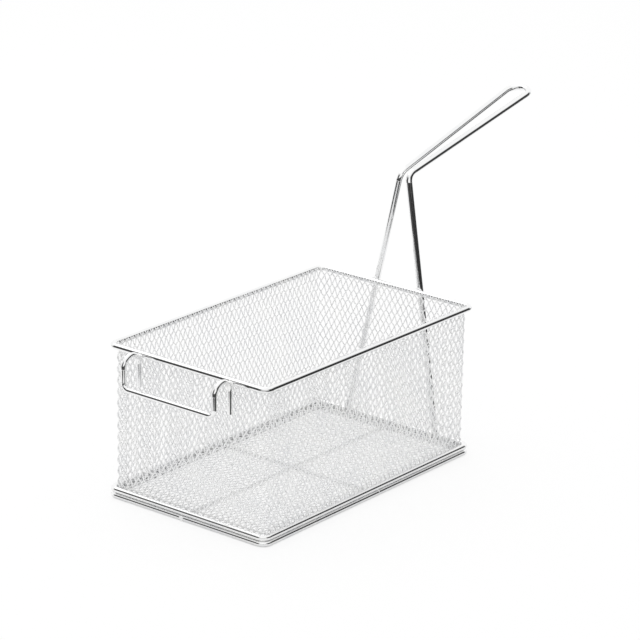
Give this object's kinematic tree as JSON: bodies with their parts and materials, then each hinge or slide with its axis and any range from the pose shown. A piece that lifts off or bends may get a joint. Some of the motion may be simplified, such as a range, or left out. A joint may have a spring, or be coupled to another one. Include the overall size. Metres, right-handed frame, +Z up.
{
  "type": "deep fryer basket",
  "caption": "Rectangular wire mesh basket for deep frying, with rod rims, a wire hanging hook at the front and a raised rod handle at the back.",
  "frame": {"origin": "middle of the base rods' rectangle, on the surface that the basket stands on", "axes": "+X across the width, +Y along the length towards the handle, +Z up; the hanging hook is at -Y"},
  "size_m": [0.1986, 0.5649, 0.3249],
  "materials": {
    "frame_rod": "bright plated steel rod, faint drawing lines",
    "floor_bar": "bright plated steel rod, faint drawing lines",
    "mesh_wire": "bright plated steel wire, slightly satin",
    "handle_rod": "bright plated steel rod, faint drawing lines",
    "hook_wire": "bright plated steel wire, faint drawing lines"
  },
  "bodies": {
    "root": {"rim_rod": "frame_rod", "upper_base_rod": "frame_rod", "lower_base_rod": "frame_rod", "long_floor_bar": "floor_bar", "cross_floor_bar": "floor_bar", "mesh_sleeve": "mesh_wire", "mesh_floor": "mesh_wire", "handle": "handle_rod", "hanging_hook": "hook_wire"}
  },
  "joints": []
}
